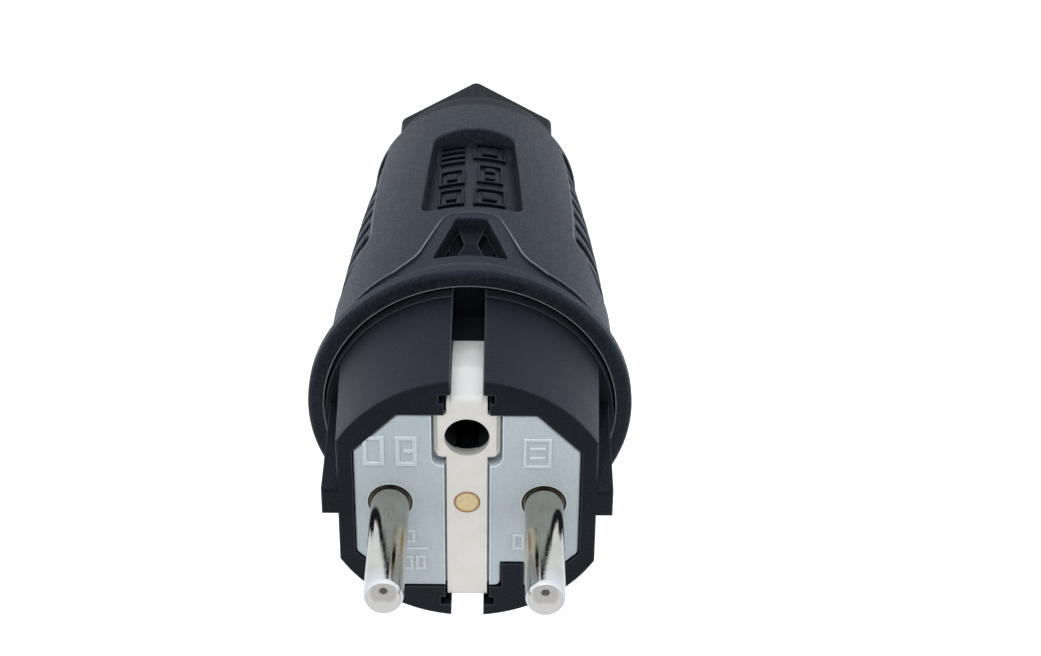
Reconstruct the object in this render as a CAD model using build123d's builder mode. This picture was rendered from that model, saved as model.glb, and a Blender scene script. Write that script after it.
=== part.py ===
from build123d import *
import os

os.makedirs("parts", exist_ok=True)

# Rewirable earthed mains plug, standing on its gland nut with the pins up.
# Z is zero on the rear face of the nut. The earth hole and the latch face -Y.

# Lengths along the plug
nut_hex_length = 5.4
nut_collar_length = 4.6
barrel_length = 55.4
carrier_reach = 19.8
pin_length = 19.0

barrel_rear = nut_hex_length + nut_collar_length
collar_front = barrel_rear + barrel_length
rim_front = collar_front + carrier_reach
pin_tip = rim_front + pin_length

# Clearances, and how far a cut runs past the surface that it opens
flat_gap = 0.3
slip_gap = 0.1
pin_gap = 0.05
screw_gap = 0.02
past = 1.0

# Bore of the housing that holds the contact carrier
carrier_bore_radius = 16.2
carrier_bore_depth = 23.2
cavity_floor = collar_front - carrier_bore_depth

# Contact carrier
carrier_radius = 18.475
carrier_flat_front = 16.0
carrier_flat_rear = 16.7
rib_half = 1.9
rib_reach = 18.05
flange_step = 0.275
flange_thickness = 3.7
gasket_thickness = 1.0
shoulder_depth = 3.2
skirt_length = 15.0
rim_edge_radius = 0.4
flange_radius = carrier_radius + flange_step
skirt_radius = carrier_bore_radius - flat_gap
shoulder = collar_front - shoulder_depth
flange_rear = shoulder + gasket_thickness
skirt_rear = flange_rear - skirt_length

# Barrel and collar of the housing
barrel_rear_radius = 14.9
barrel_front_wall = 3.05
barrel_bulge = 0.8
rear_edge_radius = 0.6
collar_wall = 2.15
collar_length = 6.1
collar_land = 1.9
collar_edge_radius = 0.7
flare_lean = 0.2
band_width = 1.2
step_depth = 0.4
barrel_front_radius = carrier_bore_radius + barrel_front_wall
barrel_middle_radius = (barrel_rear_radius + barrel_front_radius) / 2 + barrel_bulge
collar_radius = flange_radius + flat_gap + collar_wall
barrel_front = collar_front - collar_length - band_width
barrel_middle = (barrel_rear + barrel_front) / 2

# Wiring room and gland bore inside the housing
cavity_neck_radius = 13.0
cavity_neck_height = 8.0
cavity_mouth_radius = 8.5
cavity_mouth_height = 2.0
gland_bore_depth = 16.8
gland_stop = barrel_rear + gland_bore_depth

# Side grips, lengths from the rear of the barrel
grip_depth_rear = 0.6
grip_depth_front = 0.1
grip_start = 0.8
grip_rear_half = 8.2
grip_wide_at = 33.7
grip_wide_half = 12.4
grip_end = 39.2
grip_front_half = 7.4
grip_corner = 2.5
grip_rim_radius = 0.1
rib_pitch = 4.26
slot_count = 8
slot_width = 2.4
slot_depth = 1.3
slot_margin = 1.0
slot_corner = 0.5
slot_rim_radius = 0.25
first_slot_at = 6.1

# Label recess: its rear end is placed from the barrel's rear and its front end from the arch,
# and its widths are at the level given by its plane
label_plane_depth = 1.3
label_rear_at = 10.0
label_shoulder_at = 11.5
label_arch_web = 2.4
label_rear_half = 5.95
label_front_half = 6.55
label_rear_corner = 2.2
label_front_corner = 1.4
label_draft = 20
label_depth_rear = 2.1
label_depth_front = 1.8
label_rim_radius = 0.3
label_plane = barrel_rear_radius + label_plane_depth

# Arched hollow and latch window, lengths back from the front of the barrel
arch_length = 11.2
arch_top_half = 3.4
arch_foot_half = 6.9
arch_corner = 2.2
arch_flare_length = 1.6
arch_flare_width = 3.0
arch_flare_radius = 4.0
arch_floor_lift = 0.8
arch_rim_radius = 0.1
window_length = 9.5
window_foot = 0.5
window_rear_half = 2.1
window_front_half = 5.15
window_corner = 0.6
window_draft = 6
window_rim_radius = 0.3
arch_top = barrel_front - arch_length
arch_foot = barrel_front - arch_flare_length
label_front = arch_top - label_arch_web
window_front = barrel_front - window_foot
window_rear = window_front - window_length

# Latch arm, cut free of the skirt, and its catch in the window
arm_half = 2.9
arm_thickness = 1.7
arm_slit = 0.8
arm_root_depth = 1.2
latch_gap = 0.35
catch_rear_half = 1.7
catch_waist_half = 0.85
catch_front_half = 2.1
catch_waist_back = 4.1
catch_rear_rise = 1.0
catch_ridge_rise = 2.0
catch_front_rise = 1.6
arm_root = flange_rear - arm_root_depth

# Earth strip with its eye and its two side clips
strip_thickness = 0.8
strip_recess = 0.3
strip_half = 2.5
strip_gap = 0.28
strip_front = rim_front - strip_recess
strip_back = strip_front - strip_thickness
eye_half = 3.6
eye_front = 13.5
eye_rear = 7.1
eye_corner = 0.4
earth_hole_offset = 10.0
earth_hole_radius = 2.75
clip_half = 1.95
clip_span = 15.5
clip_bulge = 0.45
clip_lean = 0.1
clip_bend = 0.9
clip_straight = 6.0
clip_reach = 10.7
clip_end = 13.6
clip_overlap = 1.0
clip_slot_half = 2.035
clip_slot_room = 1.5
clip_slot_past = 0.7
tee_half = 3.4
tee_width = 1.3
tee_overlap = 0.3
tee_depth = 3.0
clip_slot_floor = clip_span - clip_slot_room
tee_middle = clip_span - tee_overlap + tee_width / 2

# Face plate in the front of the carrier
plate_half_width = 13.9
plate_clip_wall = 0.6
plate_corner_x = 8.5
plate_corner_y = 7.9
plate_thickness = 2.5
plate_recess = 0.15
plate_gap = 0.12
plate_corner_radius = 0.8
plate_edge_radius = 0.35
notch_inner = 4.2
notch_outer = 7.1
notch_depth = 3.85
plate_half_height = clip_slot_floor - plate_clip_wall
plate_front = rim_front - plate_recess
plate_back = plate_front - plate_thickness

# Pins, their roots in the plate and their heads behind it
pin_radius = 2.4
pin_offset = 9.5
pin_tip_radius = 1.9
pin_root_step = 0.2
pin_ring_gap = 0.175
pin_head_radius = 4.0
pin_head_length = 19.0
head_pocket_gap = 0.3
wire_hole_radius = 1.7
wire_hole_depth = 10.0
cover_boss_height = 3.0
pin_root_radius = pin_radius + pin_root_step
head_rear = skirt_rear + cover_boss_height
head_front = head_rear + pin_head_length

# Earth socket with the flange under the eye, and the earth post
socket_radius = 3.4
socket_wall = 0.4
socket_length = 17.0
socket_flange_half = 4.05
socket_flange_front = 13.2
socket_flange_rear = 6.4
socket_flange_corner = 1.3
socket_flange_thickness = 0.6
flange_pocket_rear_gap = 0.7
arm_pinch = 0.55
arm_slot_half = 1.4
arm_base_length = 1.6
post_radius = 3.5
spigot_radius = 1.625
post_head_length = 20.0
flange_back = strip_back - socket_flange_thickness
post_front = head_rear + post_head_length

# Terminal screws and pressure plates
screw_radius = 1.75
screw_length = 4.6
screw_tip = 0.9
screw_slot_width = 0.8
screw_slot_depth = 1.0
screw_height = 4.0
screw_chamfer = 0.3
access_radius = 2.1
leaf_half = 1.3
leaf_thickness = 0.5
leaf_length = 7.0
leaf_corner = 0.4

# Rear cover of the carrier and its screws
cover_thickness = 2.5
cover_hole_radius = 2.2
cover_boss_wall = 1.2
cover_screw_x = 8.0
cover_screw_y = 9.5
cover_screw_radius = 1.45
cover_screw_length = 11.0
cover_head_radius = 2.75
cover_head_height = 1.8
cross_length = 3.9

# Gland nut, clamp cage and cable seal
nut_across_flats = 22.8
nut_corner_radius = 1.2
nut_edge_radius = 0.15
nut_collar_rear_radius = 13.4
nut_collar_front_radius = 13.9
spigot_length = 10.0
thread_radius = 11.0
cable_hole_radius = 6.75
cable_hole_length = 2.6
cone_run = 3.6
cage_gap = 0.25
cage_base_height = 3.0
seal_flange = 1.0
finger_inner_radius = 7.7
finger_base_radius = 9.6
finger_tip_radius = 8.8
finger_tip_chamfer = 0.7
finger_count = 8
finger_slit = 1.1
seal_bore_radius = 5.5
seal_inset = 1.5
seal_mouth = 0.8

finger_tip = cable_hole_length + cone_run
seal_rear = finger_tip + seal_inset
cage_base_radius = thread_radius - cage_gap
cage_front = gland_stop - seal_flange
cage_rear = cage_front - cage_base_height
nut_length = barrel_rear + spigot_length


def barrel_core(rear_depth, front_depth):
    """Round solid whose side lies under the barrel's surface, by a depth at each end."""
    with BuildPart() as core:
        with BuildSketch(Plane.XZ):
            with BuildLine():
                side = ThreePointArc(
                    (barrel_rear_radius - rear_depth, barrel_rear),
                    (barrel_middle_radius - (rear_depth + front_depth) / 2, barrel_middle),
                    (barrel_front_radius - front_depth, barrel_front),
                )
                Polyline(side @ 1, (0, barrel_front), (0, barrel_rear), side @ 0)
            make_face()
        revolve(axis=Axis.Z)
    return core.part


def grip_outline(inset):
    """Outline of the grip panel seen from the side, drawn in by an inset."""
    rear = barrel_rear + grip_start
    wide = barrel_rear + grip_wide_at
    front = barrel_rear + grip_end
    with BuildSketch(mode=Mode.PRIVATE) as outline:
        with BuildLine():
            Polyline(
                (-grip_rear_half, rear),
                (grip_rear_half, rear),
                (grip_wide_half, wide),
                (grip_front_half, front),
                (-grip_front_half, front),
                (-grip_wide_half, wide),
                close=True,
            )
        make_face()
        fillet(vertices(), grip_corner)
        if inset > 0:
            offset(amount=-inset)
    return outline.sketch


# Shallow panel on each side that the grip slots are cut in
with BuildPart() as grip_panels:
    with BuildSketch(Plane.YZ):
        add(grip_outline(0))
    extrude(amount=2 * collar_radius, both=True)
    add(barrel_core(grip_depth_rear, grip_depth_front), mode=Mode.SUBTRACT)

# Grip slots: their ends follow the outline of the panel
with BuildPart() as grip_slots:
    with BuildSketch(Plane.YZ):
        with BuildSketch(mode=Mode.PRIVATE) as rows:
            for number in range(slot_count):
                with Locations((0, barrel_rear + first_slot_at + number * rib_pitch)):
                    Rectangle(2 * (grip_wide_half + past), slot_width - 2 * slot_corner)
        add(grip_outline(slot_margin + slot_corner))
        add(rows.sketch, mode=Mode.INTERSECT)
        offset(amount=slot_corner)
    extrude(amount=2 * collar_radius, both=True)
    add(barrel_core(grip_depth_rear + slot_depth, grip_depth_front + slot_depth), mode=Mode.SUBTRACT)

# Label recess: drafted walls, and a floor that follows the barrel, deeper towards the cable
with BuildPart() as label_cut:
    with BuildSketch(Plane.XZ.offset(label_plane)) as label_outline:
        with BuildLine():
            rear = ThreePointArc(
                (-label_rear_half, barrel_rear + label_shoulder_at),
                (0, barrel_rear + label_rear_at),
                (label_rear_half, barrel_rear + label_shoulder_at),
            )
            Polyline(
                rear @ 1,
                (label_front_half, label_front),
                (-label_front_half, label_front),
                rear @ 0,
            )
        make_face()
        fillet(vertices().group_by(Axis.Y)[0], label_rear_corner)
        fillet(vertices().group_by(Axis.Y)[-1], label_front_corner)
    extrude(amount=collar_radius - label_plane, taper=-label_draft)
    extrude(label_outline.sketch, amount=-label_depth_rear, taper=label_draft)
    add(barrel_core(label_depth_rear, label_depth_front), mode=Mode.SUBTRACT)

# Arched hollow over the latch window: level with the band at its foot, shallower at its top
with BuildPart() as arch_cut:
    with BuildSketch(Plane.XZ):
        with BuildLine():
            Polyline(
                (-arch_top_half, arch_top),
                (arch_top_half, arch_top),
                (arch_foot_half, arch_foot),
                (arch_foot_half + arch_flare_width, barrel_front),
                (-arch_foot_half - arch_flare_width, barrel_front),
                (-arch_foot_half, arch_foot),
                close=True,
            )
        make_face()
        fillet(vertices().group_by(Axis.Y)[0], arch_corner)
        feet = vertices().filter_by(lambda v: abs(v.Y - arch_foot) < flat_gap)
        fillet(feet, arch_flare_radius)
    extrude(amount=2 * collar_radius)
    add(barrel_core(-arch_floor_lift, step_depth), mode=Mode.SUBTRACT)

# Latch window: a drafted opening through the wall to the carrier's catch
with BuildPart() as window_cut:
    with BuildSketch(Plane.XZ.offset(barrel_front_radius)):
        with BuildLine():
            Polyline(
                (-window_rear_half, window_rear),
                (window_rear_half, window_rear),
                (window_front_half, window_front),
                (-window_front_half, window_front),
                close=True,
            )
        make_face()
        fillet(vertices(), window_corner)
    extrude(amount=-(barrel_front_wall + past), taper=window_draft)



def rims_at(rear_depth, front_depth, candidates):
    """Those of the edges that lie under the barrel's surface, by a depth at each end."""
    level = barrel_core(rear_depth, front_depth).faces().sort_by(SortBy.AREA)[-1]
    return [
        edge
        for edge in candidates
        if all(level.distance_to(edge @ share) < screw_gap for share in (0, 0.5, 1))
    ]


# Housing: barrel, band and flared collar, with every cut edge softened
with BuildPart() as housing:
    with BuildSketch(Plane.XZ):
        with BuildLine():
            side = ThreePointArc(
                (barrel_rear_radius, barrel_rear),
                (barrel_middle_radius, barrel_middle),
                (barrel_front_radius, barrel_front),
            )
            band = Polyline(
                side @ 1,
                (barrel_front_radius - step_depth, barrel_front),
                (barrel_front_radius - step_depth, collar_front - collar_length),
            )
            flare = TangentArc(
                band @ 1,
                (collar_radius, collar_front - collar_land),
                tangent=(flare_lean, 1),
            )
            Polyline(
                flare @ 1,
                (collar_radius, collar_front),
                (flange_radius + flat_gap, collar_front),
                (flange_radius + flat_gap, shoulder),
                (carrier_bore_radius, shoulder),
                (carrier_bore_radius, cavity_floor),
                (cavity_neck_radius, cavity_floor - cavity_neck_height),
                (cavity_mouth_radius, gland_stop + cavity_mouth_height),
                (cavity_mouth_radius, gland_stop),
                (thread_radius + pin_gap, gland_stop),
                (thread_radius + pin_gap, barrel_rear),
                side @ 0,
            )
        make_face()
    revolve(axis=Axis.Z)
    rims = edges().filter_by(GeomType.CIRCLE)
    collar_rims = rims.filter_by(lambda e: abs(e.radius - collar_radius) < slip_gap)
    fillet(collar_rims.sort_by(Axis.Z)[-1], collar_edge_radius)
    fillet(rims.filter_by(lambda e: abs(e.radius - barrel_rear_radius) < slip_gap), rear_edge_radius)
    add(label_cut.part, mode=Mode.SUBTRACT)
    fillet(rims_at(0, 0, edges(Select.LAST)), label_rim_radius)
    add(arch_cut.part, mode=Mode.SUBTRACT)
    fillet(rims_at(0, 0, edges(Select.LAST)), arch_rim_radius)
    add(grip_panels.part, mode=Mode.SUBTRACT)
    fillet(rims_at(0, 0, edges(Select.LAST)), grip_rim_radius)
    add(window_cut.part, mode=Mode.SUBTRACT)
    fillet(rims_at(-arch_floor_lift, step_depth, edges(Select.LAST)), window_rim_radius)
    add(grip_slots.part, mode=Mode.SUBTRACT)
    fillet(rims_at(grip_depth_rear, grip_depth_front, edges(Select.LAST)), slot_rim_radius)
housing.part.label = "housing"
export_step(housing.part, "parts/housing.step")

# Gland nut: hexagon at the cable end, round collar against the barrel, threaded spigot
with BuildPart() as gland_nut:
    with BuildSketch():
        RegularPolygon(nut_across_flats / 2, 6, major_radius=False, rotation=30)
        fillet(vertices(), nut_corner_radius)
    extrude(amount=nut_hex_length)
    fillet(faces().sort_by(Axis.Z)[0].outer_wire().edges(), nut_edge_radius)
    with BuildSketch(Plane.XZ):
        with BuildLine():
            Polyline(
                (0, nut_hex_length),
                (nut_collar_rear_radius, nut_hex_length),
                (nut_collar_front_radius, barrel_rear),
                (thread_radius, barrel_rear),
                (thread_radius, nut_length),
                (0, nut_length),
                close=True,
            )
        make_face()
    revolve(axis=Axis.Z)
    with BuildSketch(Plane.XZ):
        with BuildLine():
            slope = (finger_base_radius - finger_tip_radius) / (cage_rear - finger_tip)
            mouth_radius = finger_tip_radius + slope * (nut_length - finger_tip)
            Polyline(
                (0, 0),
                (cable_hole_radius, 0),
                (cable_hole_radius, cable_hole_length),
                (finger_tip_radius + slip_gap, finger_tip),
                (mouth_radius + slip_gap, nut_length),
                (0, nut_length),
                close=True,
            )
        make_face()
    revolve(axis=Axis.Z, mode=Mode.SUBTRACT)
gland_nut.part.label = "gland_nut"
export_step(gland_nut.part, "parts/gland_nut.step")

# Clamp cage: a base ring with fingers that the nut's cone closes on the cable
with BuildPart() as clamp_cage:
    with BuildSketch(Plane.XZ):
        with BuildLine():
            Polyline(
                (finger_inner_radius, cage_front),
                (cage_base_radius, cage_front),
                (cage_base_radius, cage_rear),
                (finger_base_radius, cage_rear),
                (finger_tip_radius, finger_tip),
                (finger_inner_radius, finger_tip - finger_tip_chamfer),
                close=True,
            )
        make_face()
    revolve(axis=Axis.Z)
    with BuildSketch(Plane.XY.offset(cage_rear)):
        with PolarLocations(0, finger_count // 2, angular_range=180, endpoint=False):
            Rectangle(2 * (cage_base_radius + past), finger_slit)
    extrude(amount=-(cage_rear - finger_tip + finger_tip_chamfer), mode=Mode.SUBTRACT)
clamp_cage.part.label = "clamp_cage"
export_step(clamp_cage.part, "parts/clamp_cage.step")

# Cable seal: rubber sleeve inside the fingers, its flange pressed on the gland stop
with BuildPart() as cable_seal:
    with BuildSketch(Plane.XZ):
        with BuildLine():
            Polyline(
                (seal_bore_radius + seal_mouth, gland_stop),
                (cage_base_radius, gland_stop),
                (cage_base_radius, cage_front),
                (finger_inner_radius - slip_gap, cage_front),
                (finger_inner_radius - slip_gap, seal_rear),
                (seal_bore_radius + seal_mouth, seal_rear),
                (seal_bore_radius, seal_rear + seal_mouth),
                (seal_bore_radius, gland_stop - seal_mouth),
                close=True,
            )
        make_face()
    revolve(axis=Axis.Z)
cable_seal.part.label = "cable_seal"
export_step(cable_seal.part, "parts/cable_seal.step")

# Front gasket between the carrier's flange and the housing's shoulder
with BuildPart() as front_gasket:
    with BuildSketch(Plane.XY.offset(shoulder)):
        Circle(flange_radius - slip_gap)
        Circle(carrier_bore_radius + slip_gap, mode=Mode.SUBTRACT)
    extrude(amount=gasket_thickness)
front_gasket.part.label = "front_gasket"
export_step(front_gasket.part, "parts/front_gasket.step")


def plate_outline(gap):
    """Eight-sided outline of the face plate with its key notch, grown by a gap."""
    with BuildSketch(mode=Mode.PRIVATE) as outline:
        with BuildLine():
            half_x = plate_half_width
            half_y = plate_half_height
            Polyline(
                (-plate_corner_x, -half_y),
                (plate_corner_x, -half_y),
                (half_x, -plate_corner_y),
                (half_x, plate_corner_y),
                (plate_corner_x, half_y),
                (-notch_inner, half_y),
                (-notch_inner, half_y - notch_depth),
                (-notch_outer, half_y - notch_depth),
                (-notch_outer, half_y),
                (-plate_corner_x, half_y),
                (-half_x, plate_corner_y),
                (-half_x, -plate_corner_y),
                close=True,
            )
        make_face()
        if gap > 0:
            offset(amount=gap, kind=Kind.INTERSECTION)
        else:
            notch_floor = half_y - notch_depth
            corners = vertices().filter_by(lambda v: abs(v.Y - notch_floor) > slip_gap)
            corners = corners.filter_by(lambda v: v.Y < notch_floor or v.X > -notch_inner - slip_gap)
            fillet(corners, plate_corner_radius)
    return outline.sketch


# Catch of the latch arm: waisted in plan, with a ramp up to a ridge at the waist
arm_inner = skirt_radius - arm_thickness
catch_rear = window_rear + latch_gap
catch_front = window_front - latch_gap
catch_waist = window_front - catch_waist_back
with BuildPart() as catch:
    with BuildSketch(Plane.XZ):
        with BuildLine():
            Polyline(
                (-catch_rear_half, catch_rear),
                (catch_rear_half, catch_rear),
                (catch_waist_half, catch_waist),
                (catch_front_half, catch_front),
                (-catch_front_half, catch_front),
                (-catch_waist_half, catch_waist),
                close=True,
            )
        make_face()
    extrude(amount=carrier_radius)
    with BuildSketch(Plane.YZ):
        with BuildLine():
            Polyline(
                (-arm_inner, catch_rear),
                (-skirt_radius - catch_rear_rise, catch_rear),
                (-skirt_radius - catch_ridge_rise, catch_waist),
                (-skirt_radius - catch_front_rise, catch_front),
                (-arm_inner, catch_front),
                close=True,
            )
        make_face()
    extrude(amount=catch_front_half, both=True, mode=Mode.INTERSECT)

# Contact carrier: black block with drafted flats, guide ribs, clip slots and latch arm
with BuildPart() as contact_carrier:
    with BuildSketch(Plane.XY.offset(flange_rear)):
        Circle(carrier_radius)
    extrude(amount=rim_front - flange_rear)
    with BuildSketch(Plane.XZ):
        with BuildLine():
            Polyline(
                (-carrier_flat_rear, flange_rear),
                (carrier_flat_rear, flange_rear),
                (carrier_flat_front, rim_front),
                (-carrier_flat_front, rim_front),
                close=True,
            )
        make_face()
    extrude(amount=carrier_radius + past, both=True, mode=Mode.INTERSECT)
    with BuildSketch(Plane.XY.offset(flange_rear)):
        Rectangle(2 * rib_reach, 2 * rib_half)
    extrude(amount=rim_front - flange_rear)
    fillet(faces().sort_by(Axis.Z)[-1].outer_wire().edges(), rim_edge_radius)
    with BuildSketch(Plane.XY.offset(flange_rear)):
        Circle(flange_radius)
    extrude(amount=flange_thickness)
    with BuildSketch(Plane.XY.offset(skirt_rear)):
        Circle(skirt_radius)
    extrude(amount=skirt_length)
    # Pocket for the face plate
    with BuildSketch(Plane.XY.offset(plate_back)):
        add(plate_outline(plate_gap))
    extrude(amount=rim_front - plate_back, mode=Mode.SUBTRACT)
    # Ways for the strip's bends, the tee notches and the two clip slots
    with BuildSketch(Plane.XY.offset(strip_back)):
        Rectangle(2 * (strip_half + strip_gap), 2 * (clip_span + flat_gap))
    extrude(amount=rim_front - strip_back, mode=Mode.SUBTRACT)
    bend_depth = strip_recess + strip_thickness / 2 + clip_bend + flat_gap
    bend_room = clip_span + flat_gap - clip_slot_floor
    bend_middle = clip_slot_floor + bend_room / 2
    with BuildSketch(Plane.XY.offset(rim_front)):
        with Locations((0, bend_middle), (0, -bend_middle)):
            Rectangle(2 * (strip_half + strip_gap), bend_room)
    extrude(amount=-bend_depth, mode=Mode.SUBTRACT)
    with BuildSketch(Plane.XY.offset(rim_front)):
        with Locations((0, tee_middle), (0, -tee_middle)):
            Rectangle(2 * tee_half, tee_width)
    extrude(amount=-tee_depth, mode=Mode.SUBTRACT)
    slot_reach = flange_radius + past - clip_slot_floor
    with BuildSketch(Plane.XY.offset(rim_front)):
        with Locations((0, clip_slot_floor + slot_reach / 2), (0, -clip_slot_floor - slot_reach / 2)):
            Rectangle(2 * clip_slot_half, slot_reach)
    extrude(amount=-(carrier_reach + clip_slot_past), mode=Mode.SUBTRACT)
    # Pin holes with the pockets for their heads
    with BuildSketch(Plane.XY.offset(rim_front)):
        with Locations((pin_offset, 0), (-pin_offset, 0)):
            Circle(pin_root_radius + pin_gap)
        Circle(spigot_radius + slip_gap)
    extrude(amount=-(rim_front - skirt_rear), mode=Mode.SUBTRACT)
    with BuildSketch(Plane.XY.offset(skirt_rear)):
        with Locations((pin_offset, 0), (-pin_offset, 0)):
            Circle(pin_head_radius + head_pocket_gap)
    extrude(amount=head_front - skirt_rear, mode=Mode.SUBTRACT)
    with BuildSketch(Plane.XY.offset(skirt_rear)):
        Circle(post_radius + slip_gap)
    extrude(amount=post_front - skirt_rear, mode=Mode.SUBTRACT)
    # Blind bore for the earth socket
    with BuildSketch(Plane.XY.offset(strip_back)):
        with Locations((0, -earth_hole_offset)):
            Circle(socket_radius + slip_gap)
    extrude(amount=-(socket_length + flat_gap), mode=Mode.SUBTRACT)
    # Ways in for the screwdriver
    with BuildSketch(Plane.YZ):
        with Locations((0, head_rear + screw_height)):
            Circle(access_radius)
    extrude(amount=skirt_radius + past, both=True, mode=Mode.SUBTRACT)
    with BuildSketch(Plane.XZ):
        with Locations((0, head_rear + screw_height)):
            Circle(access_radius)
    extrude(amount=-skirt_radius - past, mode=Mode.SUBTRACT)
    # Holes for the cover screws
    with BuildSketch(Plane.XY.offset(skirt_rear)):
        with Locations((cover_screw_x, cover_screw_y), (-cover_screw_x, cover_screw_y)):
            Circle(cover_screw_radius + screw_gap)
    extrude(amount=cover_screw_length - cover_thickness + flat_gap, mode=Mode.SUBTRACT)
    # Slits and hollow that leave the latch arm free to bend
    with BuildSketch(Plane.XY.offset(skirt_rear)):
        with Locations((0, -skirt_radius)):
            Rectangle(2 * (arm_half + arm_slit), 2 * (arm_thickness + arm_slit))
            Rectangle(2 * arm_half, 2 * arm_thickness, mode=Mode.SUBTRACT)
    extrude(amount=arm_root - skirt_rear, mode=Mode.SUBTRACT)
    add(catch.part)
contact_carrier.part.label = "contact_carrier"
export_step(contact_carrier.part, "parts/contact_carrier.step")


def flange_outline(gap, rear_gap):
    """Outline of the socket's flange under the eye, grown by a gap and by another at its rear."""
    front = socket_flange_front + gap
    rear = socket_flange_rear - rear_gap
    with BuildSketch(mode=Mode.PRIVATE) as outline:
        with Locations((0, -(front + rear) / 2)):
            Rectangle(2 * (socket_flange_half + gap), front - rear)
        fillet(vertices().group_by(Axis.Y)[-1], socket_flange_corner)
    return outline.sketch


# Face plate with the channel for the earth strip and the holes of the pins
with BuildPart() as face_plate:
    with BuildSketch(Plane.XY.offset(plate_back)):
        add(plate_outline(0))
    extrude(amount=plate_thickness)
    fillet(faces().sort_by(Axis.Z)[-1].outer_wire().edges(), plate_edge_radius)
    with BuildSketch(Plane.XY.offset(strip_back)):
        Rectangle(2 * (strip_half + strip_gap), 2 * (plate_half_height + past))
    extrude(amount=rim_front - strip_back, mode=Mode.SUBTRACT)
    with BuildSketch(Plane.XY.offset(flange_back)):
        add(flange_outline(strip_gap, flange_pocket_rear_gap))
    extrude(amount=rim_front - flange_back, mode=Mode.SUBTRACT)
    with BuildSketch(Plane.XY.offset(plate_back)):
        with Locations((pin_offset, 0), (-pin_offset, 0)):
            Circle(pin_root_radius + pin_ring_gap)
        Circle(spigot_radius + slip_gap)
        with Locations((0, -earth_hole_offset)):
            Circle(socket_radius + slip_gap)
    extrude(amount=plate_thickness, mode=Mode.SUBTRACT)
face_plate.part.label = "face_plate"
export_step(face_plate.part, "parts/face_plate.step")


def clip_path(side):
    """Middle line of one end of the strip, bent back over the rim as a side clip."""
    middle = strip_front - strip_thickness / 2
    span = clip_span - strip_thickness / 2
    return [
        (side * (clip_slot_floor - clip_overlap), middle),
        (side * span, middle),
        (side * (span + clip_bulge), middle - clip_straight),
        (side * (span - clip_lean), strip_front - clip_reach),
        (side * (clip_slot_floor + strip_thickness / 2), strip_front - clip_end),
    ]


# Earth strip: flat with an eye round the earth hole, both ends bent back as clips
with BuildPart() as earth_strip:
    with BuildSketch(Plane.XY.offset(strip_back)):
        Rectangle(2 * strip_half, 2 * (clip_span - strip_thickness / 2 - clip_bend))
        with BuildSketch(mode=Mode.PRIVATE) as eye:
            with Locations((0, -(eye_front + eye_rear) / 2)):
                Rectangle(2 * eye_half, eye_front - eye_rear)
            fillet(eye.vertices().group_by(Axis.Y)[-1], eye_corner)
        add(eye.sketch)
        Circle(spigot_radius + screw_gap, mode=Mode.SUBTRACT)
        with Locations((0, -earth_hole_offset)):
            Circle(earth_hole_radius, mode=Mode.SUBTRACT)
    extrude(amount=strip_thickness)
    for side in (-1, 1):
        with BuildSketch(Plane.YZ):
            with BuildLine() as clip:
                FilletPolyline(*clip_path(side), radius=clip_bend)
            trace(line_width=strip_thickness)
        extrude(amount=clip_half, both=True)
        bend_middle = strip_front - strip_thickness / 2 - clip_bend
        bend_span = clip_span - strip_thickness / 2 - clip_bend
        with BuildSketch(Plane.YZ):
            with BuildLine():
                CenterArc((side * bend_span, bend_middle), clip_bend, 90, -90 * side)
            trace(line_width=strip_thickness)
        extrude(amount=strip_half, both=True)
earth_strip.part.label = "earth_strip"
export_step(earth_strip.part, "parts/earth_strip.step")

# Earth socket: flange under the eye, and a sleeve whose two arms bow in to grip the earth pin
socket_inner = socket_radius - socket_wall
socket_rear = strip_back - socket_length
arm_rear = socket_rear + arm_base_length
arm_middle = (flange_back + arm_rear) / 2
socket_axis = Axis((0, -earth_hole_offset, 0), (0, 0, 1))
socket_section = Plane((0, -earth_hole_offset, 0), x_dir=(1, 0, 0), z_dir=(0, -1, 0))
with BuildPart() as earth_socket:
    with BuildSketch(Plane.XY.offset(flange_back)):
        add(flange_outline(0, 0))
        with Locations((0, -earth_hole_offset)):
            Circle(socket_inner, mode=Mode.SUBTRACT)
    extrude(amount=socket_flange_thickness)
    with BuildSketch(socket_section):
        with BuildLine():
            outer = ThreePointArc(
                (socket_radius, flange_back),
                (socket_radius - arm_pinch, arm_middle),
                (socket_radius, arm_rear),
            )
            inner = ThreePointArc(
                (socket_inner, arm_rear),
                (socket_inner - arm_pinch, arm_middle),
                (socket_inner, flange_back),
            )
            Polyline(outer @ 1, (socket_radius, socket_rear), (socket_inner, socket_rear), inner @ 0)
            Line(inner @ 1, outer @ 0)
        make_face()
    revolve(axis=socket_axis)
    with BuildSketch(Plane((0, -earth_hole_offset, arm_rear))):
        Rectangle(2 * arm_slot_half, 2 * (socket_radius + past))
    extrude(amount=flange_back - arm_rear, mode=Mode.SUBTRACT)
earth_socket.part.label = "earth_socket"
export_step(earth_socket.part, "parts/earth_socket.step")

# Earth post: turned head with the wire hole, spigot peened in the strip
with BuildPart() as earth_post:
    with BuildSketch(Plane.XY.offset(head_rear)):
        Circle(post_radius)
    extrude(amount=post_head_length)
    with BuildSketch(Plane.XY.offset(post_front)):
        Circle(spigot_radius)
    extrude(amount=strip_front - post_front)
    with BuildSketch(Plane.XY.offset(head_rear)):
        Circle(wire_hole_radius)
    extrude(amount=wire_hole_depth, mode=Mode.SUBTRACT)
    with BuildSketch(Plane.XZ):
        with Locations((0, head_rear + screw_height)):
            Circle(screw_radius + screw_gap)
    extrude(amount=-post_radius - past, mode=Mode.SUBTRACT)
earth_post.part.label = "earth_post"
export_step(earth_post.part, "parts/earth_post.step")


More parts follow.
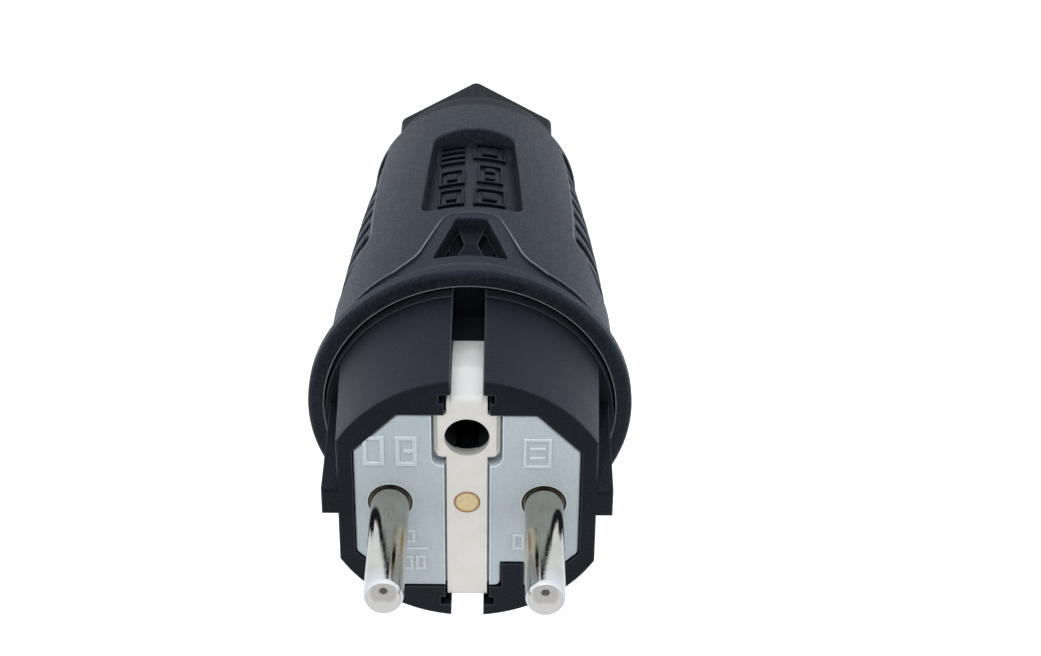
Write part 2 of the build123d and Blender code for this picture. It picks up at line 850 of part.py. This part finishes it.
def pin_at(x):
    """One turned pin with its domed tip, root, head, wire hole and tapped screw hole."""
    outward = 1 if x > 0 else -1
    with BuildPart() as pin:
        with BuildSketch(Plane((x, 0, plate_front))):
            Circle(pin_radius)
        extrude(amount=pin_tip - plate_front)
        fillet(edges().group_by(Axis.Z)[-1], pin_tip_radius)
        with BuildSketch(Plane((x, 0, head_front))):
            Circle(pin_root_radius)
        extrude(amount=plate_front - head_front)
        with BuildSketch(Plane((x, 0, head_rear))):
            Circle(pin_head_radius)
        extrude(amount=pin_head_length)
        with BuildSketch(Plane((x, 0, head_rear))):
            Circle(wire_hole_radius)
        extrude(amount=wire_hole_depth, mode=Mode.SUBTRACT)
        with BuildSketch(Plane((x, 0, head_rear + screw_height), z_dir=(outward, 0, 0))):
            Circle(screw_radius + screw_gap)
        extrude(amount=pin_head_radius + past, mode=Mode.SUBTRACT)
    return pin.part


def screw_along(x, y, direction):
    """One slotted grub screw, its tip just inside the wire hole at (x, y)."""
    tip = Vector(x, y, head_rear + screw_height) + Vector(*direction) * screw_tip
    back = tip + Vector(*direction) * screw_length
    with BuildPart() as screw:
        with BuildSketch(Plane(tip, z_dir=direction)):
            Circle(screw_radius)
        extrude(amount=screw_length)
        chamfer(edges(), screw_chamfer)
        with BuildSketch(Plane(back, x_dir=(0, 0, 1), z_dir=direction)):
            Rectangle(2 * (screw_radius + past), screw_slot_width)
        extrude(amount=-screw_slot_depth, mode=Mode.SUBTRACT)
    return screw.part


def leaf_along(x, y, direction):
    """One pressure plate between the screw's tip and the wire."""
    middle = Vector(x, y, head_rear + screw_height) + Vector(*direction) * screw_tip
    with BuildPart() as leaf:
        with BuildSketch(Plane(middle, x_dir=(0, 0, 1), z_dir=direction)):
            RectangleRounded(leaf_length, 2 * leaf_half, leaf_corner)
        extrude(amount=-leaf_thickness)
    return leaf.part


# The three terminals: left and right as seen from the pins with the earth hole up
terminals = {
    "left": (pin_offset, 0, (1, 0, 0)),
    "right": (-pin_offset, 0, (-1, 0, 0)),
    "earth": (0, 0, (0, 1, 0)),
}
for name, (x, y, direction) in terminals.items():
    pieces = {
        "terminal_screw_" + name: screw_along(x, y, direction),
        "pressure_plate_" + name: leaf_along(x, y, direction),
    }
    if name != "earth":
        pieces["pin_" + name] = pin_at(x)
    for label, piece in pieces.items():
        piece.label = label
        export_step(piece, "parts/" + label + ".step")

# Rear cover of the carrier: its hollow bosses hold the heads of the pins and the post
cover_front = skirt_rear
cover_rear = cover_front - cover_thickness
with BuildPart() as carrier_cover:
    with BuildSketch(Plane.XY.offset(cover_rear)):
        Circle(skirt_radius)
        with Locations((0, -skirt_radius)):
            Rectangle(2 * (arm_half + arm_slit), 2 * (arm_thickness + arm_slit), mode=Mode.SUBTRACT)
    extrude(amount=cover_thickness)
    with BuildSketch(Plane.XY.offset(cover_front)):
        with Locations((pin_offset, 0), (-pin_offset, 0), (0, 0)):
            Circle(cover_hole_radius + cover_boss_wall)
    extrude(amount=cover_boss_height)
    with BuildSketch(Plane.XY.offset(cover_rear)):
        with Locations((pin_offset, 0), (-pin_offset, 0), (0, 0)):
            Circle(cover_hole_radius)
        with Locations((cover_screw_x, cover_screw_y), (-cover_screw_x, cover_screw_y)):
            Circle(cover_screw_radius + slip_gap)
    extrude(amount=cover_thickness + cover_boss_height, mode=Mode.SUBTRACT)
carrier_cover.part.label = "carrier_cover"
export_step(carrier_cover.part, "parts/carrier_cover.step")


def cover_screw_at(x):
    """One pan head screw, driven into the carrier from behind."""
    with BuildPart() as screw:
        with BuildSketch(Plane((x, cover_screw_y, cover_rear - cover_head_height))):
            Circle(cover_head_radius)
        extrude(amount=cover_head_height)
        fillet(edges().group_by(Axis.Z)[0], cover_head_height / 2)
        with BuildSketch(Plane((x, cover_screw_y, cover_rear))):
            Circle(cover_screw_radius)
        extrude(amount=cover_screw_length)
        with BuildSketch(Plane((x, cover_screw_y, cover_rear - cover_head_height))):
            Rectangle(cross_length, screw_slot_width)
            Rectangle(screw_slot_width, cross_length)
        extrude(amount=screw_slot_depth, mode=Mode.SUBTRACT)
    return screw.part


for name, x in {"left": cover_screw_x, "right": -cover_screw_x}.items():
    cover_screw = cover_screw_at(x)
    cover_screw.label = "cover_screw_" + name
    export_step(cover_screw, "parts/" + cover_screw.label + ".step")
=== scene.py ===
import math

import bpy
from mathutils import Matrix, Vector


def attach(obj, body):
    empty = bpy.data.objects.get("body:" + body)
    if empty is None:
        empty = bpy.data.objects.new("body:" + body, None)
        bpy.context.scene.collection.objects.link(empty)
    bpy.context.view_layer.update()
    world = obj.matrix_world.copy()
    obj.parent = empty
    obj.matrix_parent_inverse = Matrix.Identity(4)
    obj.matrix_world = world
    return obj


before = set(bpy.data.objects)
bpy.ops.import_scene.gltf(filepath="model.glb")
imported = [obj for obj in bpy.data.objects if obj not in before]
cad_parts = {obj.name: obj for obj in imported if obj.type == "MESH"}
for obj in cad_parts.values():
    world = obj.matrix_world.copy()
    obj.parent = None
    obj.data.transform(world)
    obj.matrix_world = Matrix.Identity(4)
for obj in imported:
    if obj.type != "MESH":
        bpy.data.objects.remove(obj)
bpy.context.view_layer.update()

bpy.ops.object.select_all(action="DESELECT")


# Housing: the barrel with its collar, one moulding in black glass-filled polyamide.
# The mould was spark eroded, which leaves an even, fine-grained matt skin that
# scatters the light into a soft grey sheen. Its projecting edges are painted lighter, a
# painted highlight for the light that their rounding catches.

MM = 0.001
# A noise texture stays mostly between these two values.
noise_low = 0.3
noise_high = 0.7
# Flow marks of the moulding, and their share in its tone beside the grain.
flow_mark_mm = 9
flow_mark_share = 0.35
cloud_low = 0.45
cloud_high = 0.9
# Seen from inside, this much is open under a flat skin and under a sharp edge.
flat_openness = 0.84
edge_openness = 0.6
dull_fade_mm = 0.2
dull_roughness = 0.35


def linear(hex_colour):
    """Linear RGBA of an sRGB hex colour."""
    channels = [int(hex_colour[i:i + 2], 16) / 255 for i in (1, 3, 5)]
    light = [c / 12.92 if c <= 0.04045 else ((c + 0.055) / 1.055) ** 2.4 for c in channels]
    return (*light, 1.0)


def add_node(material, kind, inputs=None, **settings):
    """One node with its settings; an input takes a value or another node's output."""
    node = material.node_tree.nodes.new(kind)
    for name, value in settings.items():
        setattr(node, name, value)
    for name, value in (inputs or {}).items():
        if isinstance(value, bpy.types.NodeSocket):
            material.node_tree.links.new(value, node.inputs[name])
        else:
            node.inputs[name].default_value = value
    return node


def new_finish(name):
    """An empty material with its output, and the object coordinates that its patterns read."""
    material = bpy.data.materials.new(name)
    material.use_nodes = True
    material.node_tree.nodes.clear()
    add_node(material, "ShaderNodeOutputMaterial")
    place = add_node(material, "ShaderNodeTexCoord").outputs["Object"]
    return material, place


def finish_surface(material, inputs):
    """Joins a principled shader with these inputs to the output."""
    shader = add_node(material, "ShaderNodeBsdfPrincipled", inputs)
    output = material.node_tree.nodes["Material Output"]
    material.node_tree.links.new(shader.outputs["BSDF"], output.inputs["Surface"])
    return material


def dress(node, material):
    """Gives a carried-over node its finish."""
    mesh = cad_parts[node].data
    mesh.materials.clear()
    mesh.materials.append(material)


def moulded_plastic(name, dark, light, edge_light, grain_mm, depth_mm, rough_low, rough_high,
                    edge_mm, gloss, sheen="#ffffff", edge_light_share=0.9, edge_light_mm=0.3, dull_below_mm=-1.0):
    """Moulded plastic: grain from the mould, flow marks, an uneven gloss and a painted
    highlight along its projecting edges.

    Below a given height the skin is dull, as where the mould was left unpolished.
    """
    material, place = new_finish(name)
    grain = add_node(material, "ShaderNodeTexNoise",
                     {"Vector": place, "Scale": 1 / (grain_mm * MM),
                      "Detail": 3.0, "Roughness": 0.6})
    flow = add_node(material, "ShaderNodeTexNoise",
                    {"Vector": place, "Scale": 1 / (flow_mark_mm * MM)})
    clouds = add_node(material, "ShaderNodeMath",
                      {0: flow.outputs[0], 1: flow_mark_share, 2: grain.outputs[0]},
                      operation="MULTIPLY_ADD")
    tone = add_node(material, "ShaderNodeMapRange",
                    {"Value": clouds.outputs[0], "From Min": cloud_low, "From Max": cloud_high})
    skin = add_node(material, "ShaderNodeMix",
                    {"Factor": tone.outputs[0], 6: linear(dark), 7: linear(light)},
                    data_type="RGBA")
    within = add_node(material, "ShaderNodeAmbientOcclusion", {"Distance": edge_light_mm * MM},
                      inside=True, only_local=True, samples=8)
    edge = add_node(material, "ShaderNodeMapRange",
                    {"Value": within.outputs["AO"],
                     "From Min": flat_openness, "From Max": edge_openness,
                     "To Min": 0.0, "To Max": edge_light_share})
    # Painted highlight: edges found by the inward ambient occlusion are painted towards the
    # lighter edge colour.
    edge_lit = add_node(material, "ShaderNodeMix",
                    {"Factor": edge.outputs[0], 6: skin.outputs[2], 7: linear(edge_light)},
                    data_type="RGBA")
    height = add_node(material, "ShaderNodeSeparateXYZ", {"Vector": place})
    dull = add_node(material, "ShaderNodeMapRange",
                    {"Value": height.outputs["Z"],
                     "From Min": (dull_below_mm - dull_fade_mm) * MM,
                     "From Max": dull_below_mm * MM,
                     "To Min": dull_roughness, "To Max": 0.0})
    gloss_spots = add_node(material, "ShaderNodeMapRange",
                           {"Value": grain.outputs[0],
                            "From Min": noise_low, "From Max": noise_high,
                            "To Min": rough_low, "To Max": rough_high})
    rough = add_node(material, "ShaderNodeMath",
                     {0: gloss_spots.outputs[0], 1: dull.outputs[0]}, operation="ADD")
    rounded = add_node(material, "ShaderNodeBevel", {"Radius": edge_mm * MM}, samples=4)
    relief = add_node(material, "ShaderNodeBump",
                      {"Height": grain.outputs[0], "Distance": depth_mm * MM,
                       "Normal": rounded.outputs[0]})
    return finish_surface(material, {
        "Base Color": edge_lit.outputs[2],
        "Roughness": rough.outputs[0],
        "Specular IOR Level": gloss,
        "Specular Tint": linear(sheen),
        "Normal": relief.outputs[0],
    })


# The eroded grain is about 0.05 mm across. It is drawn at 0.3 mm, which is what still shows.
spark_eroded_black = moulded_plastic(
    "spark_eroded_polyamide", "#0a0d11", "#24292e", edge_light="#868c95",
    grain_mm=0.32, depth_mm=0.1, rough_low=0.3, rough_high=0.6, edge_mm=0.1,
    gloss=0.172, sheen="#ccdbff")
dress("housing", spark_eroded_black)


# Pattern in the label recess: plain frames and bars, raised on the recess's floor in the same
# moulding. Their faces are a little smoother than the matt skin and painted darker, a painted
# shade for the shadows along the raised marks.

sheet_cuts = 5
bevel_share = 0.2
smooth_degrees = 35


def flat_sheet(name, middle_mm, wide_mm, tall_mm, upright, stroke_mm=0):
    """A flat sheet of small faces that faces up or, if upright, forward.

    With a stroke, it is a ring of that width.
    """
    x, y, z = middle_mm
    bpy.ops.mesh.primitive_plane_add(size=1, location=(x * MM, y * MM, z * MM),
                                     rotation=(math.pi / 2 if upright else 0, 0, 0))
    sheet = bpy.context.object
    sheet.name = name
    sheet.scale = (wide_mm * MM, tall_mm * MM, 1)
    bpy.ops.object.transform_apply(location=True, rotation=True, scale=True)
    bpy.ops.object.mode_set(mode="EDIT")
    if stroke_mm:
        bpy.ops.mesh.inset(thickness=stroke_mm * MM)
        bpy.ops.mesh.delete(type="FACE")
        bpy.ops.mesh.select_all(action="SELECT")
    bpy.ops.mesh.subdivide(number_cuts=sheet_cuts)
    bpy.ops.object.mode_set(mode="OBJECT")
    return sheet


def apply_modifier(piece, kind, **settings):
    """Adds a modifier with its settings and applies it."""
    modifier = piece.modifiers.new(kind.lower(), kind)
    for name, value in settings.items():
        setattr(modifier, name, value)
    bpy.context.view_layer.objects.active = piece
    bpy.ops.object.modifier_apply(modifier=modifier.name)


def raise_relief(sheet, height_mm, material):
    """Gives a flat sheet its height and soft edges, and fixes it to the plug."""
    apply_modifier(sheet, "SOLIDIFY", thickness=height_mm * MM, offset=1.0)
    apply_modifier(sheet, "BEVEL", width=bevel_share * height_mm * MM, segments=2,
                   limit_method="ANGLE")
    bpy.ops.object.shade_smooth_by_angle(angle=math.radians(smooth_degrees))
    sheet.data.materials.append(material)
    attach(sheet, "root")
    sheet.select_set(False)


# Painted shade: the raised pattern is painted darker than the barrel's skin.
shaded_relief_black = moulded_plastic(
    "relief_polyamide_painted_shade", "#04060a", "#080b10", edge_light="#1a1f25",
    grain_mm=0.3, depth_mm=0.02, rough_low=0.3, rough_high=0.4, edge_mm=0.08,
    gloss=0.08, sheen="#c4d6ff", edge_light_share=0.3)
recess_relief_mm = 0.4
recess_stroke_mm = 0.42
# The sheets start before the barrel and drop onto the recess's floor.
before_barrel_mm = -21.0
# Across, height, width and length of each, in millimetres.
recess_frames = [(2.9, 33.0, 3.6, 4.6), (2.9, 39.2, 3.6, 4.8), (-2.2, 24.4, 4.6, 5.2),
                 (-2.3, 32.0, 3.6, 5.6), (-2.3, 39.2, 4.4, 4.8)]
recess_bars = [(2.9, 22.4, 3.4, 0.8), (2.9, 24.2, 3.4, 0.8), (2.9, 26.0, 3.4, 0.8),
               (2.9, 27.8, 3.4, 0.8), (2.9, 33.0, 1.4, 1.8), (2.9, 39.2, 1.4, 1.8),
               (-2.2, 24.4, 2.2, 2.2), (-2.3, 30.9, 1.4, 1.2), (-2.3, 33.1, 1.4, 1.2),
               (-2.3, 39.2, 2.0, 2.0)]
recess_pattern = []
for number, (x, z, wide, tall) in enumerate(recess_frames, start=1):
    recess_pattern.append(flat_sheet("recess_frame_%d" % number, (x, before_barrel_mm, z),
                                     wide, tall, True, recess_stroke_mm))
for number, (x, z, wide, tall) in enumerate(recess_bars, start=1):
    recess_pattern.append(flat_sheet("recess_bar_%d" % number, (x, before_barrel_mm, z),
                                     wide, tall, True))
for sheet in recess_pattern:
    apply_modifier(sheet, "SHRINKWRAP", target=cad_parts["housing"],
                   wrap_method="PROJECT", use_project_x=False, use_project_y=True,
                   use_project_z=False, use_positive_direction=True,
                   use_negative_direction=False)
    raise_relief(sheet, recess_relief_mm, shaded_relief_black)


# Gland nut: black polyamide from a smoother mould, a shade browner than the barrel.
# It screws into the barrel behind and closes the clamp cage on the cable.

smooth_black = moulded_plastic(
    "nut_polyamide", "#0f0f12", "#19191d", edge_light="#595a61",
    grain_mm=0.28, depth_mm=0.09, rough_low=0.36, rough_high=0.5, edge_mm=0.1,
    gloss=0.12, sheen="#dde4ff")
dress("gland_nut", smooth_black)


# Clamp cage, cable seal and gasket: natural grey polyamide fingers round a sleeve of black
# rubber. The rubber is dull and has the dust of talc that keeps it from sticking.

cage_grey = moulded_plastic(
    "cage_polyamide", "#7c8082", "#8f9395", edge_light="#a5a9ab",
    grain_mm=0.3, depth_mm=0.02, rough_low=0.4, rough_high=0.5, edge_mm=0.15, gloss=0.5)
dress("clamp_cage", cage_grey)
talced_rubber = moulded_plastic(
    "seal_rubber", "#1a1a1a", "#2c2c2b", edge_light="#3a3a38",
    grain_mm=0.15, depth_mm=0.02, rough_low=0.75, rough_high=0.9, edge_mm=0.2, gloss=0.3)
for node in ("cable_seal", "front_gasket"):
    dress(node, talced_rubber)


# Contact carrier: the black block that enters the socket, moulded in a harder, denser
# polyamide than the barrel. Its skin is finer, so it looks darker and a little glossier,
# but for the catch inside the barrel, which the mould leaves dull.

catch_top_mm = 60.0
carrier_black = moulded_plastic(
    "carrier_polyamide", "#080a0d", "#15171b", edge_light="#454a51",
    grain_mm=0.28, depth_mm=0.1, rough_low=0.36, rough_high=0.5, edge_mm=0.1,
    gloss=0.165, sheen="#ccdcff", edge_light_share=0.55, edge_light_mm=0.25, dull_below_mm=catch_top_mm)
dress("contact_carrier", carrier_black)


# Face plate and rear cover: light grey polycarbonate, satin from a polished and lightly
# blasted mould, with a bluish cast and a painted highlight along its edges. The plate is set
# in the carrier's front, and the cover is screwed on behind.

plate_grey = moulded_plastic(
    "plate_polycarbonate", "#9fa9af", "#abb6bc", edge_light="#d3dadd",
    grain_mm=0.3, depth_mm=0.012, rough_low=0.36, rough_high=0.44, edge_mm=0.15, gloss=0.35)
for node in ("face_plate", "carrier_cover"):
    dress(node, plate_grey)


# Pattern on the face plate: low plain frames and bars, raised in the plate's own moulding,
# painted lighter than the plate, with painted highlights on their edges.

# Painted light: the raised pattern is painted lighter than the plate.
lit_relief_grey = moulded_plastic(
    "relief_polycarbonate_painted_light", "#afb8bd", "#bbc5ca", edge_light="#dfe5e8",
    grain_mm=0.3, depth_mm=0.012, rough_low=0.3, rough_high=0.4, edge_mm=0.06,
    gloss=0.35, edge_light_share=0.8, edge_light_mm=0.13)
plate_top_mm = 85.05
plate_relief_mm = 0.14
# Across, depth, width and length of each, and the frames' stroke, in millimetres.
plate_frames = [(11.4, -8.0, 2.6, 4.4, 0.5), (7.4, -8.0, 2.6, 4.4, 0.5),
                (-8.6, -7.8, 3.4, 4.4, 0.35), (7.2, 5.3, 1.4, 2.0, 0.3),
                (5.8, 9.6, 1.2, 2.2, 0.3), (7.4, 9.6, 1.2, 2.2, 0.3),
                (-6.4, 6.1, 1.4, 2.4, 0.3)]
plate_bars = [(7.1, -8.0, 1.2, 0.5), (-8.6, -8.5, 1.9, 0.35), (-8.6, -7.1, 1.9, 0.35),
              (6.6, 7.3, 3.4, 0.3)]
for number, (x, y, wide, tall, stroke) in enumerate(plate_frames, start=1):
    sheet = flat_sheet("plate_frame_%d" % number, (x, y, plate_top_mm), wide, tall,
                       False, stroke)
    raise_relief(sheet, plate_relief_mm, lit_relief_grey)
for number, (x, y, wide, tall) in enumerate(plate_bars, start=1):
    sheet = flat_sheet("plate_bar_%d" % number, (x, y, plate_top_mm), wide, tall, False)
    raise_relief(sheet, plate_relief_mm, lit_relief_grey)


# Pins: turned brass, nickel plated bright, held by their heads under the plate. The tool's
# feed marks are too fine to see one by one, so they are drawn coarser, where they fray the
# reflections. The root is darkened with painted shade where it enters the plate, and the tip
# is lighter from burnishing in use and a painted highlight.

film_mm = 2.5
shade_fade_mm = 0.1
burnish_highlight_fade_mm = 3
# Marks run round the piece, twenty times as long as they are wide.
mark_stretch = (0.05, 0.05, 1.0)


def plated_metal(name, dark, light, mark_mm, mark_depth_mm, rough_low, rough_high, edge_mm,
                 metallic=1.0, shade_colour="#5a574c", shade_below_mm=-1.0,
                 burnish_highlight="#cdccca", burnish_highlight_above_mm=200.0):
    """Plated metal with marks across its length and a film of handling.

    Its foot is darkened with painted shade and its tip is lighter from burnishing and a painted
    highlight, below and above the given heights.
    """
    material, place = new_finish(name)
    film = add_node(material, "ShaderNodeTexNoise",
                    {"Vector": place, "Scale": 1 / (film_mm * MM), "Detail": 4.0})
    tone = add_node(material, "ShaderNodeMapRange",
                    {"Value": film.outputs[0], "From Min": noise_low, "From Max": noise_high})
    plating = add_node(material, "ShaderNodeMix",
                       {"Factor": tone.outputs[0], 6: linear(dark), 7: linear(light)},
                       data_type="RGBA")
    height = add_node(material, "ShaderNodeSeparateXYZ", {"Vector": place})
    # Painted shade: below the given height the colour turns to the shade colour.
    foot_shade = add_node(material, "ShaderNodeMapRange",
                    {"Value": height.outputs["Z"],
                     "From Min": (shade_below_mm - shade_fade_mm) * MM,
                     "From Max": shade_below_mm * MM, "To Min": 1.0, "To Max": 0.0})
    shaded = add_node(material, "ShaderNodeMix",
                       {"Factor": foot_shade.outputs[0], 6: plating.outputs[2], 7: linear(shade_colour)},
                       data_type="RGBA")
    # Burnishing and painted highlight: above the given height the colour turns lighter.
    tip = add_node(material, "ShaderNodeMapRange",
                   {"Value": height.outputs["Z"], "From Min": burnish_highlight_above_mm * MM,
                    "From Max": (burnish_highlight_above_mm + burnish_highlight_fade_mm) * MM})
    burnish_highlighted = add_node(material, "ShaderNodeMix",
                         {"Factor": tip.outputs[0], 6: shaded.outputs[2], 7: linear(burnish_highlight)},
                         data_type="RGBA")
    drawn_out = add_node(material, "ShaderNodeMapping",
                         {"Vector": place, "Scale": mark_stretch})
    marks = add_node(material, "ShaderNodeTexNoise",
                     {"Vector": drawn_out.outputs[0], "Scale": 1 / (mark_mm * MM),
                      "Detail": 3.0, "Roughness": 0.7})
    rough = add_node(material, "ShaderNodeMapRange",
                     {"Value": film.outputs[0], "From Min": noise_low, "From Max": noise_high,
                      "To Min": rough_low, "To Max": rough_high})
    rounded = add_node(material, "ShaderNodeBevel", {"Radius": edge_mm * MM}, samples=4)
    relief = add_node(material, "ShaderNodeBump",
                      {"Height": marks.outputs[0], "Distance": mark_depth_mm * MM,
                       "Normal": rounded.outputs[0]})
    return finish_surface(material, {
        "Base Color": burnish_highlighted.outputs[2],
        "Metallic": metallic,
        "Roughness": rough.outputs[0],
        "Normal": relief.outputs[0],
    })


pin_root_mm = 85.3
pin_burnish_highlight_mm = 99.5
pin_nickel = plated_metal(
    "turned_nickel", "#b3b0a5", "#c3c0b6",
    mark_mm=0.25, mark_depth_mm=0.012, rough_low=0.04, rough_high=0.1, edge_mm=0.1,
    shade_below_mm=pin_root_mm, burnish_highlight_above_mm=pin_burnish_highlight_mm)
for node in ("pin_left", "pin_right"):
    dress(node, pin_nickel)


# Earth strip and socket: stamped spring brass, nickel plated after forming. The rolled
# sheet keeps a satin skin that scatters much of the light, so it reads as an even warm
# white beside the pins. The socket's sleeve is darkened with painted shade inside its hole,
# below its flange.

strip_nickel = plated_metal(
    "rolled_nickel", "#d8d7d2", "#e3e2de",
    mark_mm=0.25, mark_depth_mm=0.003, rough_low=0.5, rough_high=0.6, edge_mm=0.12,
    metallic=0.6)
dress("earth_strip", strip_nickel)
flange_back_mm = 83.5
# Painted shade inside the socket's hole, below its flange.
shaded_nickel = plated_metal(
    "shaded_nickel", "#d8d7d2", "#e3e2de",
    mark_mm=0.25, mark_depth_mm=0.003, rough_low=0.5, rough_high=0.6, edge_mm=0.12,
    metallic=0.6, shade_colour="#2c2e32", shade_below_mm=flange_back_mm)
dress("earth_socket", shaded_nickel)


# Earth post: bare turned brass. Its spigot is peened over in the strip, so the end
# shows as a small pale golden disc, with a painted shade of darker orange brown round its
# rim where it meets the strip.

dent_mm = 0.6
dent_depth_mm = 0.02
unshaded_radius_mm = 1.2
rim_shade_radius_mm = 1.6
peened_brass, post_place = new_finish("peened_brass")
post_dents = add_node(peened_brass, "ShaderNodeTexNoise",
                      {"Vector": post_place, "Scale": 1 / (dent_mm * MM), "Detail": 3.0})
post_tone = add_node(peened_brass, "ShaderNodeMapRange",
                     {"Value": post_dents.outputs[0],
                      "From Min": noise_low, "From Max": noise_high})
post_gold = add_node(peened_brass, "ShaderNodeMix",
                     {"Factor": post_tone.outputs[0],
                      6: linear("#d2be94"), 7: linear("#e3d2ac")},
                     data_type="RGBA")
post_across = add_node(peened_brass, "ShaderNodeVectorMath",
                       {0: post_place, 1: (1, 1, 0)}, operation="MULTIPLY")
post_radius = add_node(peened_brass, "ShaderNodeVectorMath",
                       {0: post_across.outputs[0]}, operation="LENGTH")
# Painted shade: towards its rim the disc turns darker orange brown.
post_rim_shade = add_node(peened_brass, "ShaderNodeMapRange",
                    {"Value": post_radius.outputs["Value"],
                     "From Min": unshaded_radius_mm * MM, "From Max": rim_shade_radius_mm * MM})
post_colour = add_node(peened_brass, "ShaderNodeMix",
                       {"Factor": post_rim_shade.outputs[0],
                        6: post_gold.outputs[2], 7: linear("#8f6238")},
                       data_type="RGBA")
post_rough = add_node(peened_brass, "ShaderNodeMapRange",
                      {"Value": post_dents.outputs[0],
                       "From Min": noise_low, "From Max": noise_high,
                       "To Min": 0.32, "To Max": 0.45})
post_relief = add_node(peened_brass, "ShaderNodeBump",
                       {"Height": post_dents.outputs[0], "Distance": dent_depth_mm * MM})
dress("earth_post", finish_surface(peened_brass, {
    "Base Color": post_colour.outputs[2],
    "Metallic": 1.0,
    "Roughness": post_rough.outputs[0],
    "Normal": post_relief.outputs[0],
}))


# Screws and pressure plates: steel, zinc plated and passivated, with the faint blue of
# the passivation and a slightly cloudy brightness.

zinc_steel = plated_metal(
    "zinc_plate", "#aeb4ba", "#c3c7cb",
    mark_mm=0.3, mark_depth_mm=0.001, rough_low=0.25, rough_high=0.4, edge_mm=0.1)
for side in ("left", "right", "earth"):
    dress("terminal_screw_" + side, zinc_steel)
    dress("pressure_plate_" + side, zinc_steel)
for side in ("left", "right"):
    dress("cover_screw_" + side, zinc_steel)


# Floor: a pale, slightly cool sweep of matt paper that the plug stands on. Rays from the
# camera and from mirrors see it lit up to white, and it keeps the soft shadow.

floor_size = 3.0
fibre_mm = 2
mirrored_light = 0.14
camera_light = 0.55
bpy.ops.mesh.primitive_plane_add(size=floor_size)
floor = bpy.context.object
floor.name = "floor"
paper, paper_place = new_finish("floor_paper")
fibre = add_node(paper, "ShaderNodeTexNoise",
                 {"Vector": paper_place, "Scale": 1 / (fibre_mm * MM), "Detail": 2.0})
fibre_tone = add_node(paper, "ShaderNodeMix",
                      {"Factor": fibre.outputs[0], 6: linear("#e4ecf6"), 7: linear("#e8eff9")},
                      data_type="RGBA")
ray = add_node(paper, "ShaderNodeLightPath")
mirrored = add_node(paper, "ShaderNodeMath",
                    {0: ray.outputs["Is Glossy Ray"], 1: ray.outputs["Is Transmission Ray"]},
                    operation="MAXIMUM")
mirrored_glow = add_node(paper, "ShaderNodeMath",
                         {0: mirrored.outputs[0], 1: mirrored_light}, operation="MULTIPLY")
glow = add_node(paper, "ShaderNodeMath",
                {0: ray.outputs["Is Camera Ray"], 1: camera_light, 2: mirrored_glow.outputs[0]},
                operation="MULTIPLY_ADD")
matt = add_node(paper, "ShaderNodeBsdfDiffuse", {"Color": fibre_tone.outputs[2]})
lit = add_node(paper, "ShaderNodeEmission",
               {"Color": (1, 1, 1, 1), "Strength": glow.outputs[0]})
both = add_node(paper, "ShaderNodeAddShader", {0: matt.outputs[0], 1: lit.outputs[0]})
paper_output = paper.node_tree.nodes["Material Output"]
paper.node_tree.links.new(both.outputs[0], paper_output.inputs["Surface"])
floor.data.materials.append(paper)


# Light: a soft overall studio light, dimmer on the latch side above the plug, where the
# dark of the room stands behind the camera, with a broad lamp before the latch side
# and a weaker one at each side. The lamps stay out of the mirrors on the pins.

toward_room = (0.0, -0.66, 0.75)
room_dimming = 0.25
lens_dimming = 0.6
world = bpy.data.worlds.new("studio")
bpy.context.scene.world = world
world.use_nodes = True
sky_place = add_node(world, "ShaderNodeTexCoord")
room_side = add_node(world, "ShaderNodeVectorMath",
                     {0: sky_place.outputs["Object"], 1: toward_room},
                     operation="DOT_PRODUCT")
room_dark = add_node(world, "ShaderNodeMapRange",
                     {"Value": room_side.outputs["Value"], "From Min": 0.1, "From Max": 0.45,
                      "To Min": 0.0, "To Max": room_dimming}, interpolation_type="SMOOTHSTEP")
lens_dark = add_node(world, "ShaderNodeMapRange",
                     {"Value": room_side.outputs["Value"], "From Min": 0.9, "From Max": 0.95,
                      "To Min": 0.0, "To Max": lens_dimming}, interpolation_type="SMOOTHSTEP")
all_dark = add_node(world, "ShaderNodeMath",
                    {0: room_dark.outputs[0], 1: lens_dark.outputs[0]}, operation="ADD")
sky_light = add_node(world, "ShaderNodeMath",
                     {0: 1.0, 1: all_dark.outputs[0]}, operation="SUBTRACT")
background = world.node_tree.nodes["Background"]
background.inputs["Color"].default_value = (1, 1, 1, 1)
world.node_tree.links.new(sky_light.outputs[0], background.inputs["Strength"])


def soft_lamp(name, place, aim, size, power):
    """A square lamp at a place in metres, turned to the point it lights."""
    bpy.ops.object.light_add(type="AREA", location=place)
    lamp = bpy.context.object
    lamp.name = name
    lamp.data.size = size
    lamp.data.energy = power
    lamp.visible_glossy = False
    lamp.rotation_euler = (Vector(aim) - Vector(place)).to_track_quat("-Z", "Y").to_euler()


plug_middle = (0, 0, 0.06)
soft_lamp("lamp_front", (0.05, -0.55, 0.35), plug_middle, size=0.5, power=3.0)
soft_lamp("lamp_left", (0.55, -0.1, 0.25), plug_middle, size=0.35, power=0.8)
soft_lamp("lamp_right", (-0.55, -0.1, 0.25), plug_middle, size=0.35, power=0.8)


# Camera: looks down on the standing plug from the latch side, upside down as in the
# photograph, where the pins point at the viewer and the cable end away.

camera_place = (-4.08 * MM, -176.13 * MM, 304.89 * MM)
camera_turn = (math.radians(-34.964), math.radians(0.95), math.radians(179.916))
bpy.ops.object.camera_add(location=camera_place, rotation=camera_turn)
camera = bpy.context.object
camera.data.sensor_width = 36
camera.data.lens = 78.64
camera.data.shift_x = 0.05
camera.data.shift_y = 0.0255
camera.data.clip_start = 0.01
bpy.context.scene.camera = camera
bpy.context.scene.view_settings.view_transform = "Standard"
